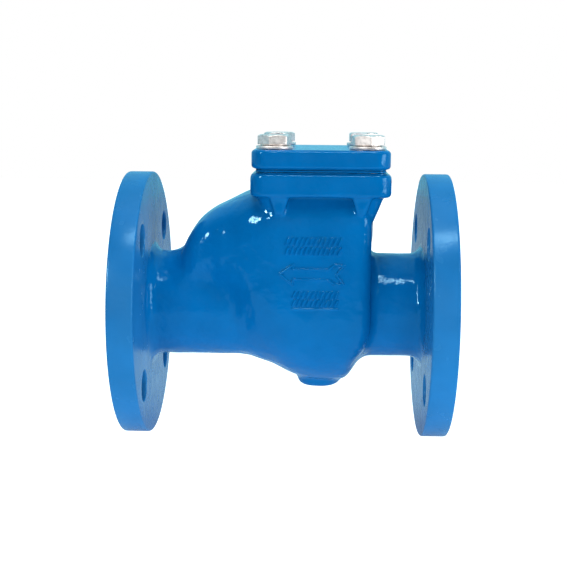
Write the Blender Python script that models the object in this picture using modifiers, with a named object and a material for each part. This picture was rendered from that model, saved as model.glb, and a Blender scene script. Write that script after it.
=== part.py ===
"""Flanged swing check valve, DN 50, built as a bench assembly of separate pieces.

+X runs along the bore towards the inlet flange, +Z up towards the bonnet, -Y is the
side with the flow arrow. The origin is on the bore axis, midway between the flange
faces. Water flows from +X to -X and lifts the disc towards -X.
"""

import math

import bmesh
import bpy
from mathutils import Matrix, Vector

MM = 0.001
GAP = 0.3 * MM  # left between meshes of pieces that touch

# Flanges and neck
FACE_TO_FACE = 203 * MM
FLANGE_RADIUS = 82.5 * MM
FLANGE_THICKNESS = 15.6 * MM
FLANGE_ROUND = 2 * MM
RAISED_FACE_RADIUS = 49.5 * MM
RAISED_FACE_HEIGHT = 1.4 * MM
BOLT_CIRCLE_RADIUS = 62.5 * MM
FLANGE_HOLE_RADIUS = 9.5 * MM
FLANGE_HOLES = 4
NECK_RADIUS = 32.6 * MM
NECK_FILLET = 7 * MM
BORE_RADIUS = 25 * MM

# Belly: stations along the bore, each (x, half width, bottom, low spring line,
# high spring line, top). Between its spring lines a section's sides are straight.
BELLY = [
    (51.3, 34.0, -20.0, 0.0, 48.0, 76.0),
    (49.5, 39.5, -28.0, 0.0, 47.0, 76.0),
    (45.5, 43.8, -34.8, 0.0, 46.0, 76.0),
    (38.5, 46.6, -45.0, 0.0, 45.0, 76.0),
    (21.0, 47.0, -48.4, 0.0, 45.0, 76.0),
    (5.0, 46.6, -44.8, 2.0, 45.0, 76.0),
    (-7.0, 45.2, -38.6, 8.0, 45.0, 75.0),
    (-18.8, 42.6, -33.0, 18.0, 44.0, 73.5),
    (-25.0, 41.0, -26.0, 28.0, 42.0, 71.5),
    (-30.0, 39.0, -14.0, 33.0, 40.0, 69.0),
    (-37.5, 36.5, -2.0, 35.0, 38.0, 65.1),
    (-44.5, 34.0, 6.0, 34.0, 36.0, 61.3),
    (-50.8, 32.5, 8.0, 32.0, 33.0, 57.4),
    (-55.3, 31.5, 8.0, 30.0, 31.0, 53.6),
    (-60.4, 29.0, 8.0, 26.0, 27.0, 45.9),
    (-64.5, 26.0, 4.0, 20.0, 20.0, 37.5),
    (-70.0, 22.0, 0.0, 12.0, 12.0, 32.0),
]
CHAMBER = [
    (44.6, 37.0, -28.0, 0.0, 46.0, 66.0),
    (38.5, 39.2, -37.0, 0.0, 46.0, 67.0),
    (21.0, 39.8, -41.0, 0.0, 46.0, 67.0),
    (5.0, 39.4, -37.5, 2.0, 46.0, 67.0),
    (-7.0, 38.2, -31.5, 8.0, 46.0, 67.0),
    (-18.8, 35.6, -24.0, 18.0, 44.0, 65.5),
    (-30.0, 32.4, -6.0, 28.0, 40.0, 60.5),
    (-37.5, 29.4, 4.0, 28.0, 36.0, 56.2),
    (-44.5, 26.5, 6.0, 27.0, 30.0, 51.2),
    (-50.8, 24.0, 6.0, 22.0, 24.0, 44.5),
    (-62.0, 18.0, 0.0, 8.0, 8.0, 24.0),
]
SECTION_ARC_STEPS = 5
BORE_SIDES = 36  # facets on the pieces round the bore, alike so that their gaps stay even
ROOF_EXPONENT = 2.6

# Drain boss below the belly
DRAIN_BOSS_X = 21 * MM
DRAIN_BOSS_RADIUS = 13 * MM
DRAIN_BOSS_BOTTOM = -51.8 * MM
DRAIN_BOSS_ROOT = -40 * MM  # inside the belly
DRAIN_BOSS_FLARE = 2 * MM

# Bonnet flange, gasket and cover
BONNET_X = 20.6 * MM
BODY_PAD_HALF = (41.5 * MM, 50.5 * MM)
BODY_PAD_Z = (71 * MM, 84.8 * MM)
COVER_HALF = (40.8 * MM, 50 * MM)
COVER_Z = (87.4 * MM, 98.5 * MM)
PAD_CORNER = 9 * MM
PAD_EDGE = 2.3 * MM
LAND_INSET = 3.2 * MM
LAND_HEIGHT = 0.5 * MM
LAND_ROOT = 4 * MM  # how deep its own solid reaches into the pad or cover
OPENING_HALF = (26 * MM, 38 * MM)
OPENING_FLOOR = 58 * MM

# Bonnet bolts, M12, in blind bosses under the body's pad
BONNET_BOLT_X = 27.5 * MM
BONNET_BOLT_Y = 36 * MM
BOLT_RADIUS = 6 * MM
BOLT_END_Z = 63 * MM
BOLT_HEAD_FLATS = 18 * MM
BOLT_HEAD_HEIGHT = 6.2 * MM
COVER_HOLE_RADIUS = 6.75 * MM
WASHER_RADIUS = 10.8 * MM
WASHER_THICKNESS = 1.8 * MM
WASHER_HOLE_RADIUS = 6.5 * MM
BOLT_BOSS_TOP_RADIUS = 12.5 * MM
BOLT_BOSS_END_RADIUS = 4.6 * MM
BOLT_BOSS_END_Z = 56 * MM

# Seat ring
SEAT_X = 38 * MM
SEAT_DEPTH_X = 46 * MM
SEAT_RADIUS = 30 * MM
SEAT_BOSS_RADIUS = 33.8 * MM
SEAT_BOSS_X = 40 * MM
SEAT_LIP = 1.2 * MM

# Hinge: a fixed pin clamped on two lugs by keepers, with the arm turning on it
PIN_X = 32 * MM
PIN_Z = 49 * MM
PIN_RADIUS = 4 * MM
PIN_HALF_LENGTH = 29 * MM
LUG_X = 19.5 * MM
LUG_INNER_Y = 16.3 * MM
LUG_BOTTOM_Z = 38 * MM
KEEPER_END_X = 44.1 * MM
KEEPER_OUTER_Y = 29.5 * MM
KEEPER_TOP_Z = 56.5 * MM
KEEPER_SCREW_SPAN = 8.5 * MM
KEEPER_SCREW_Y = 22.5 * MM
KEEPER_SCREW_RADIUS = 2 * MM
KEEPER_SCREW_END_Z = 41 * MM
SCREW_HEAD_RADIUS = 3.4 * MM
SCREW_HEAD_HEIGHT = 4 * MM
SCREW_SOCKET_RADIUS = 1.7 * MM
KEEPER_EDGE = 0.8 * MM
BUSH_WALL = 1.7 * MM
BUSH_INNER_Y = 1.5 * MM
BUSH_END_Y = 15.5 * MM
BUSH_COLLAR = 1.5 * MM
BUSH_COLLAR_RADIUS = 8.5 * MM
HUB_RADIUS = 10 * MM
ARM_X = (21.6 * MM, 28.6 * MM)
ARM_HALF_WIDTH = 8.5 * MM
EYE_RADIUS = 13 * MM
EYE_BORE_RADIUS = 5.5 * MM

# Disc, its rubber seal and its fastening
DISC_RADIUS = 32 * MM
DISC_BACK_X = 29 * MM
DISC_RIB_X = 33.6 * MM
DISC_PLATE_X = 31.5 * MM
DISC_EDGE = 1 * MM
DISC_HUB_FLARE = 3 * MM
SEAL_PROUD = 1.2 * MM
RETAINER_SUNK = 0.4 * MM  # below the seal's face
SEAL_RADII = (22.3 * MM, 30.6 * MM)
RETAINER_RADIUS = 22 * MM
RETAINER_SCREW_CIRCLE = 14 * MM
RETAINER_SCREW_RADIUS = 1.5 * MM
RETAINER_SCREW_HEAD_RADIUS = 3 * MM
RETAINER_SCREW_DEPTH = 3 * MM
RETAINER_SINK_DEPTH = 1.8 * MM
RETAINER_SCREWS = 3
STUD_RADIUS = 5 * MM
STUD_END_X = 8.5 * MM
DISC_WASHER_RADIUS = 10 * MM
DISC_WASHER_THICKNESS = 2 * MM
DISC_NUT_FLATS = 16 * MM
DISC_NUT_THICKNESS = 6 * MM
SPLIT_PIN_RADIUS = 1.2 * MM
SPLIT_PIN_HALF_LENGTH = 8 * MM

X_AXIS = Vector((1, 0, 0))
Y_AXIS = Vector((0, 1, 0))
Z_AXIS = Vector((0, 0, 1))

for old in list(bpy.data.objects):
    bpy.data.objects.remove(old)

parts = bpy.data.collections.new("check_valve")
cutters = bpy.data.collections.new("cutters")
bpy.context.scene.collection.children.link(parts)
bpy.context.scene.collection.children.link(cutters)


def material(name, colour, roughness, metallic):
    made = bpy.data.materials.new(name)
    made.use_nodes = True
    shader = made.node_tree.nodes["Principled BSDF"]
    shader.inputs["Base Color"].default_value = (*colour, 1)
    shader.inputs["Roughness"].default_value = roughness
    shader.inputs["Metallic"].default_value = metallic
    return made


BLUE_EPOXY = material("blue_epoxy", (0.0, 0.13, 0.46), 0.25, 0.0)
ZINC_STEEL = material("zinc_steel", (0.68, 0.66, 0.63), 0.32, 1.0)
STAINLESS = material("stainless", (0.62, 0.62, 0.64), 0.28, 1.0)
BRONZE = material("bronze", (0.62, 0.36, 0.16), 0.35, 1.0)
RUBBER = material("rubber", (0.02, 0.02, 0.02), 0.8, 0.0)
FIBRE = material("gasket_fibre", (0.05, 0.09, 0.1), 0.9, 0.0)


def solid(name, mesh, finish=None, origin=Vector(), parent=None):
    """An object from a mesh drawn in world coordinates, with its origin at origin."""
    mesh.transform(Matrix.Translation(-origin))
    made = bpy.data.objects.new(name, mesh)
    made.location = origin - (parent.location if parent else Vector())
    made.parent = parent
    if finish is None:
        cutters.objects.link(made)
        made.hide_render = True
        made.display_type = "WIRE"
    else:
        parts.objects.link(made)
        mesh.materials.append(finish)
        mesh.shade_smooth()
        mesh.set_sharp_from_angle(angle=math.radians(35))
    return made


def to_mesh(name, shape):
    bmesh.ops.recalc_face_normals(shape, faces=shape.faces)
    mesh = bpy.data.meshes.new(name)
    shape.to_mesh(mesh)
    shape.free()
    return mesh


def along(axis, start):
    """The matrix that stands a shape drawn up from the origin along axis at start."""
    turn = axis.to_track_quat("Z", "X").to_matrix().to_4x4()
    return Matrix.Translation(start) @ turn


def rod(name, radius, start, end, sides=32, end_radius=None, turn=0.0, **placing):
    """A cylinder, cone or prism from start to end."""
    shape = bmesh.new()
    length = (end - start).length
    bmesh.ops.create_cone(
        shape,
        cap_ends=True,
        segments=sides,
        radius1=radius,
        radius2=radius if end_radius is None else end_radius,
        depth=length,
        matrix=along((end - start).normalized(), start)
        @ Matrix.Rotation(turn, 4, "Z")
        @ Matrix.Translation((0, 0, length / 2)),
    )
    return solid(name, to_mesh(name, shape), **placing)


def box(name, low, high, **placing):
    shape = bmesh.new()
    size = Vector(high) - Vector(low)
    middle = (Vector(high) + Vector(low)) / 2
    bmesh.ops.create_cube(shape, size=1, matrix=Matrix.LocRotScale(middle, None, size))
    return solid(name, to_mesh(name, shape), **placing)


def turned(name, profile, start, axis=Z_AXIS, sides=32, **placing):
    """A turned piece. Profile runs down its outer side as (radius, height) points."""
    mesh = bpy.data.meshes.new(name)
    points = [(radius, 0, height) for radius, height in profile]
    edges = [(i, i + 1) for i in range(len(points) - 1)]
    if profile[0][0] > 0:
        edges.append((len(points) - 1, 0))
    mesh.from_pydata(points, edges, [])
    draft = bpy.data.objects.new(name + "_draft", mesh)
    cutters.objects.link(draft)
    screw = draft.modifiers.new("turn", "SCREW")
    screw.steps = screw.render_steps = sides
    screw.use_merge_vertices = True
    screw.merge_threshold = 0.00001
    view = bpy.context.evaluated_depsgraph_get()
    made = bpy.data.meshes.new_from_object(draft.evaluated_get(view))
    bpy.data.objects.remove(draft)
    made.transform(along(axis, start))
    return solid(name, made, **placing)


def slab(name, half, corner, low, high, edge=0, **placing):
    """A plate around the bonnet's middle with rounded upright corners."""
    outline = rounded_rectangle(half[0], half[1], corner)
    made = extruded(name, outline, low, high, **placing)
    if edge:
        bevel = made.modifiers.new("edges", "BEVEL")
        bevel.width = edge
        bevel.segments = 1
        bevel.angle_limit = math.radians(60)
    return made


def rounded_rectangle(half_x, half_y, corner, steps=3):
    points = []
    for quarter, (side_x, side_y) in enumerate([(1, 1), (-1, 1), (-1, -1), (1, -1)]):
        for step in range(steps + 1):
            angle = math.pi / 2 * (quarter + step / steps)
            x = side_x * (half_x - corner) + corner * math.cos(angle)
            y = side_y * (half_y - corner) + corner * math.sin(angle)
            points.append((x, y))
    return points


def oval(half_x, half_y, steps=28):
    angles = [2 * math.pi * i / steps for i in range(steps)]
    return [(half_x * math.cos(a), half_y * math.sin(a)) for a in angles]


def extruded(name, outline, low, high, **placing):
    """A flat outline around the bonnet's middle, from height low to height high."""
    path = bpy.data.curves.new(name, "CURVE")
    path.dimensions = "2D"
    path.fill_mode = "BOTH"
    path.extrude = (high - low) / 2
    spline = path.splines.new("POLY")
    spline.points.add(len(outline) - 1)
    for point, (x, y) in zip(spline.points, outline):
        point.co = (x, y, 0, 1)
    spline.use_cyclic_u = True
    draft = bpy.data.objects.new(name + "_draft", path)
    cutters.objects.link(draft)
    view = bpy.context.evaluated_depsgraph_get()
    mesh = bpy.data.meshes.new_from_object(draft.evaluated_get(view))
    bpy.data.objects.remove(draft)
    mesh.transform(Matrix.Translation((BONNET_X, 0, (low + high) / 2)))
    shape = bmesh.new()
    shape.from_mesh(mesh)
    bmesh.ops.remove_doubles(shape, verts=shape.verts, dist=0.00001)
    bpy.data.meshes.remove(mesh)
    return solid(name, to_mesh(name, shape), **placing)


def section(x, half_width, bottom, low_spring, high_spring, top):
    """One closed cross-section of the belly, from its top round the +Y side."""
    points = []
    for step in range(SECTION_ARC_STEPS + 1):
        angle = math.pi / 2 * step / SECTION_ARC_STEPS
        y = half_width * math.sin(angle) ** (2 / ROOF_EXPONENT)
        z = high_spring + (top - high_spring) * math.cos(angle) ** (2 / ROOF_EXPONENT)
        points.append((y, z))
    for step in range(SECTION_ARC_STEPS + 1):
        angle = math.pi / 2 * step / SECTION_ARC_STEPS
        y = half_width * math.cos(angle)
        z = low_spring - (low_spring - bottom) * math.sin(angle)
        points.append((y, z - 0.01 if step == 0 else z))
    mirrored = [(-y, z) for y, z in reversed(points[1:-1])]
    return [Vector((x, y, z)) * MM for y, z in points + mirrored]


def loft(name, stations, **placing):
    """A closed skin through cross-sections that all have the same number of points."""
    shape = bmesh.new()
    rings = [[shape.verts.new(p) for p in section(*station)] for station in stations]
    for ring, following in zip(rings, rings[1:]):
        for i in range(len(ring)):
            j = (i + 1) % len(ring)
            shape.faces.new((ring[i], ring[j], following[j], following[i]))
    shape.faces.new(rings[0])
    shape.faces.new(reversed(rings[-1]))
    return solid(name, to_mesh(name, shape), **placing)


def boolean(target, tool, operation):
    step = target.modifiers.new(tool.name, "BOOLEAN")
    step.object = tool
    step.operation = operation
    step.solver = "EXACT"


def cut(target, tool):
    boolean(target, tool, "DIFFERENCE")


def join(target, tool):
    boolean(target, tool, "UNION")


def arc(centre_radius, centre_height, radius, first, last, steps):
    """Points of a profile's rounded corner, angles in degrees from the radius axis."""
    points = []
    for step in range(steps + 1):
        angle = math.radians(first + (last - first) * step / steps)
        points.append(
            (
                centre_radius + radius * math.cos(angle),
                centre_height + radius * math.sin(angle),
            )
        )
    return points


def spool_profile():
    """The neck with its two flanges and raised faces, as half a turned profile."""
    end = FACE_TO_FACE / 2
    face = end - RAISED_FACE_HEIGHT
    back = face - FLANGE_THICKNESS
    rim = FLANGE_RADIUS - FLANGE_ROUND
    half = [(0, end), (RAISED_FACE_RADIUS, end), (RAISED_FACE_RADIUS, face)]
    half += arc(rim, face - FLANGE_ROUND, FLANGE_ROUND, 90, 0, 1)
    half += arc(rim, back + FLANGE_ROUND, FLANGE_ROUND, 0, -90, 1)
    half += arc(NECK_RADIUS + NECK_FILLET, back - NECK_FILLET, NECK_FILLET, 90, 180, 2)
    return half + [(radius, -height) for radius, height in reversed(half)]


def bonnet_bolt_places():
    for side_y in (-1, 1):
        for side_x in (-1, 1):
            yield BONNET_X + side_x * BONNET_BOLT_X, side_y * BONNET_BOLT_Y


def make_body():
    body = turned(
        "body",
        spool_profile(),
        Vector(),
        axis=X_AXIS,
        sides=BORE_SIDES,
        finish=BLUE_EPOXY,
    )
    join(body, loft("belly", BELLY))
    join(body, slab("body_pad", BODY_PAD_HALF, PAD_CORNER, *BODY_PAD_Z, edge=PAD_EDGE))
    land = [half - LAND_INSET for half in BODY_PAD_HALF]
    land_top = BODY_PAD_Z[1] + LAND_HEIGHT
    land_low = BODY_PAD_Z[1] - LAND_ROOT
    join(body, slab("body_land", land, PAD_CORNER - LAND_INSET, land_low, land_top))
    join(
        body,
        rod(
            "drain_boss",
            DRAIN_BOSS_RADIUS,
            Vector((DRAIN_BOSS_X, 0, DRAIN_BOSS_BOTTOM)),
            Vector((DRAIN_BOSS_X, 0, DRAIN_BOSS_ROOT)),
            sides=20,
            end_radius=DRAIN_BOSS_RADIUS + DRAIN_BOSS_FLARE,
        ),
    )
    for number, (x, y) in enumerate(bonnet_bolt_places(), 1):
        boss = rod(
            f"bolt_boss_{number}",
            BOLT_BOSS_END_RADIUS,
            Vector((x, y, BOLT_BOSS_END_Z)),
            Vector((x, y, BODY_PAD_Z[0] + MM)),
            sides=12,
            end_radius=BOLT_BOSS_TOP_RADIUS,
        )
        join(body, boss)
    cut_chamber(body)
    cut_bolt_holes(body)
    return body


def cut_chamber(body):
    """The waterway, the disc's chamber and what is machined inside it."""
    reach = FACE_TO_FACE / 2 + 5 * MM
    cut(body, loft("chamber", CHAMBER))
    opening = oval(*OPENING_HALF)
    cut(body, extruded("opening", opening, OPENING_FLOOR, BODY_PAD_Z[1] + 5 * MM))
    wall_x = CHAMBER[0][0] * MM
    join(
        body,
        rod(
            "seat_boss",
            SEAT_BOSS_RADIUS,
            Vector((SEAT_BOSS_X, 0, 0)),
            Vector((wall_x + 2 * MM, 0, 0)),
            sides=30,
        ),
    )
    for name, side in (("left", -1), ("right", 1)):
        ends = sorted((side * LUG_INNER_Y, side * (CHAMBER[2][1] + 2) * MM))
        low = (LUG_X, ends[0], LUG_BOTTOM_Z)
        high = (wall_x + 2 * MM, ends[1], PIN_Z - GAP / 2)
        join(body, box(f"lug_{name}", low, high))
    axis_start = Vector((-reach, 0, 0))
    cut(body, rod("bore", BORE_RADIUS, axis_start, -axis_start, sides=BORE_SIDES))
    pocket_start = Vector((SEAT_BOSS_X - 5 * MM, 0, 0))
    pocket_end = Vector((SEAT_DEPTH_X + GAP, 0, 0))
    pocket_radius = SEAT_RADIUS + GAP
    pocket = rod("seat_pocket", pocket_radius, pocket_start, pocket_end, sides=BORE_SIDES)
    cut(body, pocket)
    pin_end = Vector((PIN_X, PIN_HALF_LENGTH + GAP, PIN_Z))
    pin_start = Vector((PIN_X, -PIN_HALF_LENGTH - GAP, PIN_Z))
    cut(body, rod("pin_groove", PIN_RADIUS + GAP, pin_start, pin_end, sides=16))
    for number, (x, y) in enumerate(keeper_screw_places(), 1):
        hole_end = Vector((x, y, KEEPER_SCREW_END_Z - GAP))
        hole_start = Vector((x, y, PIN_Z + MM))
        radius = KEEPER_SCREW_RADIUS + GAP
        cut(body, rod(f"keeper_hole_{number}", radius, hole_end, hole_start, sides=8))


def cut_bolt_holes(body):
    """The flanges' through holes and the blind holes for the bonnet bolts."""
    end = FACE_TO_FACE / 2 + MM
    inside = FACE_TO_FACE / 2 - RAISED_FACE_HEIGHT - FLANGE_THICKNESS - 3 * MM
    for side, label in ((-1, "outlet"), (1, "inlet")):
        for number in range(FLANGE_HOLES):
            angle = 2 * math.pi * (number + 0.5) / FLANGE_HOLES
            y = BOLT_CIRCLE_RADIUS * math.cos(angle)
            z = BOLT_CIRCLE_RADIUS * math.sin(angle)
            hole = rod(
                f"{label}_hole_{number + 1}",
                FLANGE_HOLE_RADIUS,
                Vector((side * inside, y, z)),
                Vector((side * end, y, z)),
                sides=12,
            )
            cut(body, hole)
    for number, (x, y) in enumerate(bonnet_bolt_places(), 1):
        hole = rod(
            f"bolt_hole_{number}",
            BOLT_RADIUS + GAP,
            Vector((x, y, BOLT_END_Z - GAP)),
            Vector((x, y, COVER_Z[0])),
            sides=12,
        )
        cut(body, hole)


def keeper_screw_places():
    for side_y in (-1, 1):
        for side_x in (-1, 1):
            yield PIN_X + side_x * KEEPER_SCREW_SPAN, side_y * KEEPER_SCREW_Y


def make_seat_ring():
    """The ring pressed into the inlet wall, with a narrow raised sealing face."""
    profile = [
        (BORE_RADIUS + MM, SEAT_X),
        (SEAT_RADIUS - MM, SEAT_X),
        (SEAT_RADIUS, SEAT_X + SEAT_LIP),
        (SEAT_RADIUS, SEAT_DEPTH_X),
        (BORE_RADIUS, SEAT_DEPTH_X),
        (BORE_RADIUS, SEAT_X + SEAT_LIP),
    ]
    flipped = [(radius, SEAT_X + SEAT_DEPTH_X - height) for radius, height in profile]
    start = Vector((SEAT_X + SEAT_DEPTH_X, 0, 0))
    turned("seat_ring", flipped, start, axis=-X_AXIS, sides=BORE_SIDES, finish=BRONZE)


def make_bonnet():
    bonnet = slab(
        "bonnet", COVER_HALF, PAD_CORNER, *COVER_Z, edge=PAD_EDGE, finish=BLUE_EPOXY
    )
    land = [half - LAND_INSET for half in BODY_PAD_HALF]
    land_low = COVER_Z[0] - LAND_HEIGHT
    land_high = COVER_Z[0] + LAND_ROOT
    join(bonnet, slab("bonnet_land", land, PAD_CORNER - LAND_INSET, land_low, land_high))
    gasket_low = BODY_PAD_Z[1] + LAND_HEIGHT + GAP
    gasket_high = land_low - GAP
    gasket = slab(
        "bonnet_gasket",
        land,
        PAD_CORNER - LAND_INSET,
        gasket_low,
        gasket_high,
        finish=FIBRE,
    )
    opening = oval(*OPENING_HALF)
    cut(gasket, extruded("gasket_opening", opening, gasket_low - MM, gasket_high + MM))
    for number, (x, y) in enumerate(bonnet_bolt_places(), 1):
        low = Vector((x, y, BODY_PAD_Z[1]))
        high = Vector((x, y, COVER_Z[1] + MM))
        hole = rod(f"cover_hole_{number}", COVER_HOLE_RADIUS, low, high, sides=16)
        cut(bonnet, hole)
        cut(gasket, hole)
        make_bonnet_bolt(number, x, y)


def make_bonnet_bolt(number, x, y):
    washer_low = COVER_Z[1] + GAP
    washer_high = washer_low + WASHER_THICKNESS
    ring = [
        (WASHER_RADIUS, washer_high),
        (WASHER_RADIUS, washer_low),
        (WASHER_HOLE_RADIUS, washer_low),
        (WASHER_HOLE_RADIUS, washer_high),
    ]
    place = Vector((x, y, 0))
    turned(f"bonnet_washer_{number}", ring, place, sides=24, finish=ZINC_STEEL)
    head_low = Vector((x, y, washer_high + GAP))
    head_high = head_low + Vector((0, 0, BOLT_HEAD_HEIGHT))
    corner_radius = BOLT_HEAD_FLATS / 2 / math.cos(math.pi / 6)
    bolt = rod(
        f"bonnet_bolt_{number}",
        corner_radius,
        head_low,
        head_high,
        sides=6,
        turn=math.radians(12 * number),
        finish=ZINC_STEEL,
    )
    shank_low = Vector((x, y, BOLT_END_Z))
    shank_high = head_low + Vector((0, 0, MM))
    join(bolt, rod(f"bolt_shank_{number}", BOLT_RADIUS, shank_low, shank_high, sides=16))


def make_hinge(swing):
    """The fixed pin, its keepers and screws, and the bushes that turn on it."""
    pin_low = Vector((PIN_X, -PIN_HALF_LENGTH, PIN_Z))
    pin_high = Vector((PIN_X, PIN_HALF_LENGTH, PIN_Z))
    rod("hinge_pin", PIN_RADIUS, pin_low, pin_high, sides=24, finish=STAINLESS)
    groove = rod("keeper_groove", PIN_RADIUS + GAP, pin_low, pin_high, sides=16)
    for name, side in (("left", -1), ("right", 1)):
        ends = sorted((side * LUG_INNER_Y, side * KEEPER_OUTER_Y))
        low = (LUG_X, ends[0], PIN_Z + GAP / 2)
        high = (KEEPER_END_X, ends[1], KEEPER_TOP_Z)
        keeper = box(f"pin_keeper_{name}", low, high, finish=STAINLESS)
        bevel = keeper.modifiers.new("edges", "BEVEL")
        bevel.width = KEEPER_EDGE
        bevel.segments = 1
        cut(keeper, groove)
        for number, (x, y) in enumerate(keeper_screw_places(), 1):
            if y * side > 0:
                hole_low = Vector((x, y, PIN_Z - MM))
                hole_high = Vector((x, y, KEEPER_TOP_Z + MM))
                radius = KEEPER_SCREW_RADIUS + GAP
                tool = rod(f"keeper_bore_{number}", radius, hole_low, hole_high, sides=16)
                cut(keeper, tool)
        make_bush(name, side, swing)
    for number, (x, y) in enumerate(keeper_screw_places(), 1):
        make_keeper_screw(number, x, y)


def make_keeper_screw(number, x, y):
    head_low = KEEPER_TOP_Z + GAP
    profile = [
        (0, head_low + SCREW_HEAD_HEIGHT),
        (SCREW_HEAD_RADIUS, head_low + SCREW_HEAD_HEIGHT),
        (SCREW_HEAD_RADIUS, head_low),
        (KEEPER_SCREW_RADIUS, head_low),
        (KEEPER_SCREW_RADIUS, KEEPER_SCREW_END_Z),
        (0, KEEPER_SCREW_END_Z),
    ]
    name = f"keeper_screw_{number}"
    screw = turned(name, profile, Vector((x, y, 0)), sides=12, finish=STAINLESS)
    top = Vector((x, y, head_low + SCREW_HEAD_HEIGHT + MM))
    floor = Vector((x, y, head_low + SCREW_HEAD_HEIGHT / 2))
    cut(screw, rod(f"screw_socket_{number}", SCREW_SOCKET_RADIUS, floor, top, sides=6))


def make_bush(name, side, swing):
    inner = PIN_RADIUS + GAP
    outer = inner + BUSH_WALL
    profile = [
        (BUSH_COLLAR_RADIUS, BUSH_END_Y),
        (BUSH_COLLAR_RADIUS, BUSH_END_Y - BUSH_COLLAR),
        (outer, BUSH_END_Y - BUSH_COLLAR),
        (outer, BUSH_INNER_Y),
        (inner, BUSH_INNER_Y),
        (inner, BUSH_END_Y),
    ]
    centre = swing.location
    turned(
        f"hinge_bush_{name}",
        profile,
        centre,
        axis=side * Y_AXIS,
        sides=24,
        finish=BRONZE,
        origin=centre,
        parent=swing,
    )


def make_arm(swing):
    centre = swing.location
    hub_end = BUSH_END_Y - BUSH_COLLAR - GAP
    arm = rod(
        "hinge_arm",
        HUB_RADIUS,
        centre - Y_AXIS * hub_end,
        centre + Y_AXIS * hub_end,
        sides=32,
        finish=STAINLESS,
        origin=centre,
        parent=swing,
    )
    eye_low = Vector((ARM_X[0], 0, 0))
    eye_high = Vector((ARM_X[1], 0, 0))
    join(arm, rod("arm_eye", EYE_RADIUS, eye_low, eye_high, sides=32))
    low = (ARM_X[0], -ARM_HALF_WIDTH, 0)
    high = (ARM_X[1], ARM_HALF_WIDTH, PIN_Z - 2 * MM)
    join(arm, box("arm_web", low, high))
    bush_bore = PIN_RADIUS + BUSH_WALL + 2 * GAP
    reach = Y_AXIS * (hub_end + MM)
    cut(arm, rod("hub_bore", bush_bore, centre - reach, centre + reach, sides=24))
    stud_low = eye_low - X_AXIS * MM
    stud_high = eye_high + X_AXIS * MM
    cut(arm, rod("eye_bore", EYE_BORE_RADIUS, stud_low, stud_high, sides=24))


def make_disc(spin):
    """The disc with its stud, seen from the seat side as a plate with a seal groove."""
    front = SEAT_X - GAP
    groove = DISC_RIB_X
    placing = {"origin": spin.location.copy(), "parent": spin}
    profile = [
        (0, STUD_END_X),
        (STUD_RADIUS, STUD_END_X),
        (STUD_RADIUS, ARM_X[1] + GAP),
        (EYE_RADIUS, ARM_X[1] + GAP),
        (EYE_RADIUS + DISC_HUB_FLARE, DISC_PLATE_X),
        (DISC_RADIUS - DISC_EDGE, DISC_PLATE_X),
        (DISC_RADIUS, DISC_PLATE_X + DISC_EDGE),
        (DISC_RADIUS, front - SEAL_PROUD),
        (SEAL_RADII[1] + GAP, front - SEAL_PROUD),
        (SEAL_RADII[1] + GAP, groove),
        (0, groove),
    ]
    flipped = [(radius, -height) for radius, height in profile]
    disc = turned(
        "disc",
        flipped,
        Vector(),
        axis=-X_AXIS,
        sides=36,
        finish=STAINLESS,
        **placing,
    )
    seal = [
        (SEAL_RADII[1], -groove - GAP),
        (SEAL_RADII[1], -front),
        (SEAL_RADII[0], -front),
        (SEAL_RADII[0], -groove - GAP),
    ]
    turned(
        "disc_seal", seal, Vector(), axis=-X_AXIS, sides=36, finish=RUBBER, **placing
    )
    plate_back = Vector((groove + GAP, 0, 0))
    plate_front = Vector((front - RETAINER_SUNK, 0, 0))
    retainer = rod(
        "seal_retainer",
        RETAINER_RADIUS,
        plate_back,
        plate_front,
        sides=36,
        finish=STAINLESS,
        **placing,
    )
    make_retainer_screws(disc, retainer, plate_back.x, plate_front.x, placing)
    make_disc_fastening(disc, placing)


def make_retainer_screws(disc, retainer, back, front, placing):
    for number in range(1, RETAINER_SCREWS + 1):
        angle = 2 * math.pi * number / RETAINER_SCREWS + math.pi / 2
        side = Vector((0, math.cos(angle), math.sin(angle))) * RETAINER_SCREW_CIRCLE
        depth = RETAINER_SCREW_DEPTH
        shank = RETAINER_SCREW_RADIUS
        head = RETAINER_SCREW_HEAD_RADIUS
        sink = front - RETAINER_SINK_DEPTH
        profile = [
            (0, -back + depth),
            (shank, -back + depth),
            (shank, -sink),
            (head, -front),
            (0, -front),
        ]
        turned(
            f"retainer_screw_{number}",
            profile,
            side,
            axis=-X_AXIS,
            sides=16,
            finish=STAINLESS,
            **placing,
        )
        room = [
            (0, -back + depth + GAP),
            (shank + GAP, -back + depth + GAP),
            (shank + GAP, -sink),
            (head + GAP, -front),
            (head + GAP, -front - MM),
            (0, -front - MM),
        ]
        hole = turned(f"retainer_hole_{number}", room, side, axis=-X_AXIS, sides=12)
        cut(disc, hole)
        cut(retainer, hole)


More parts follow.
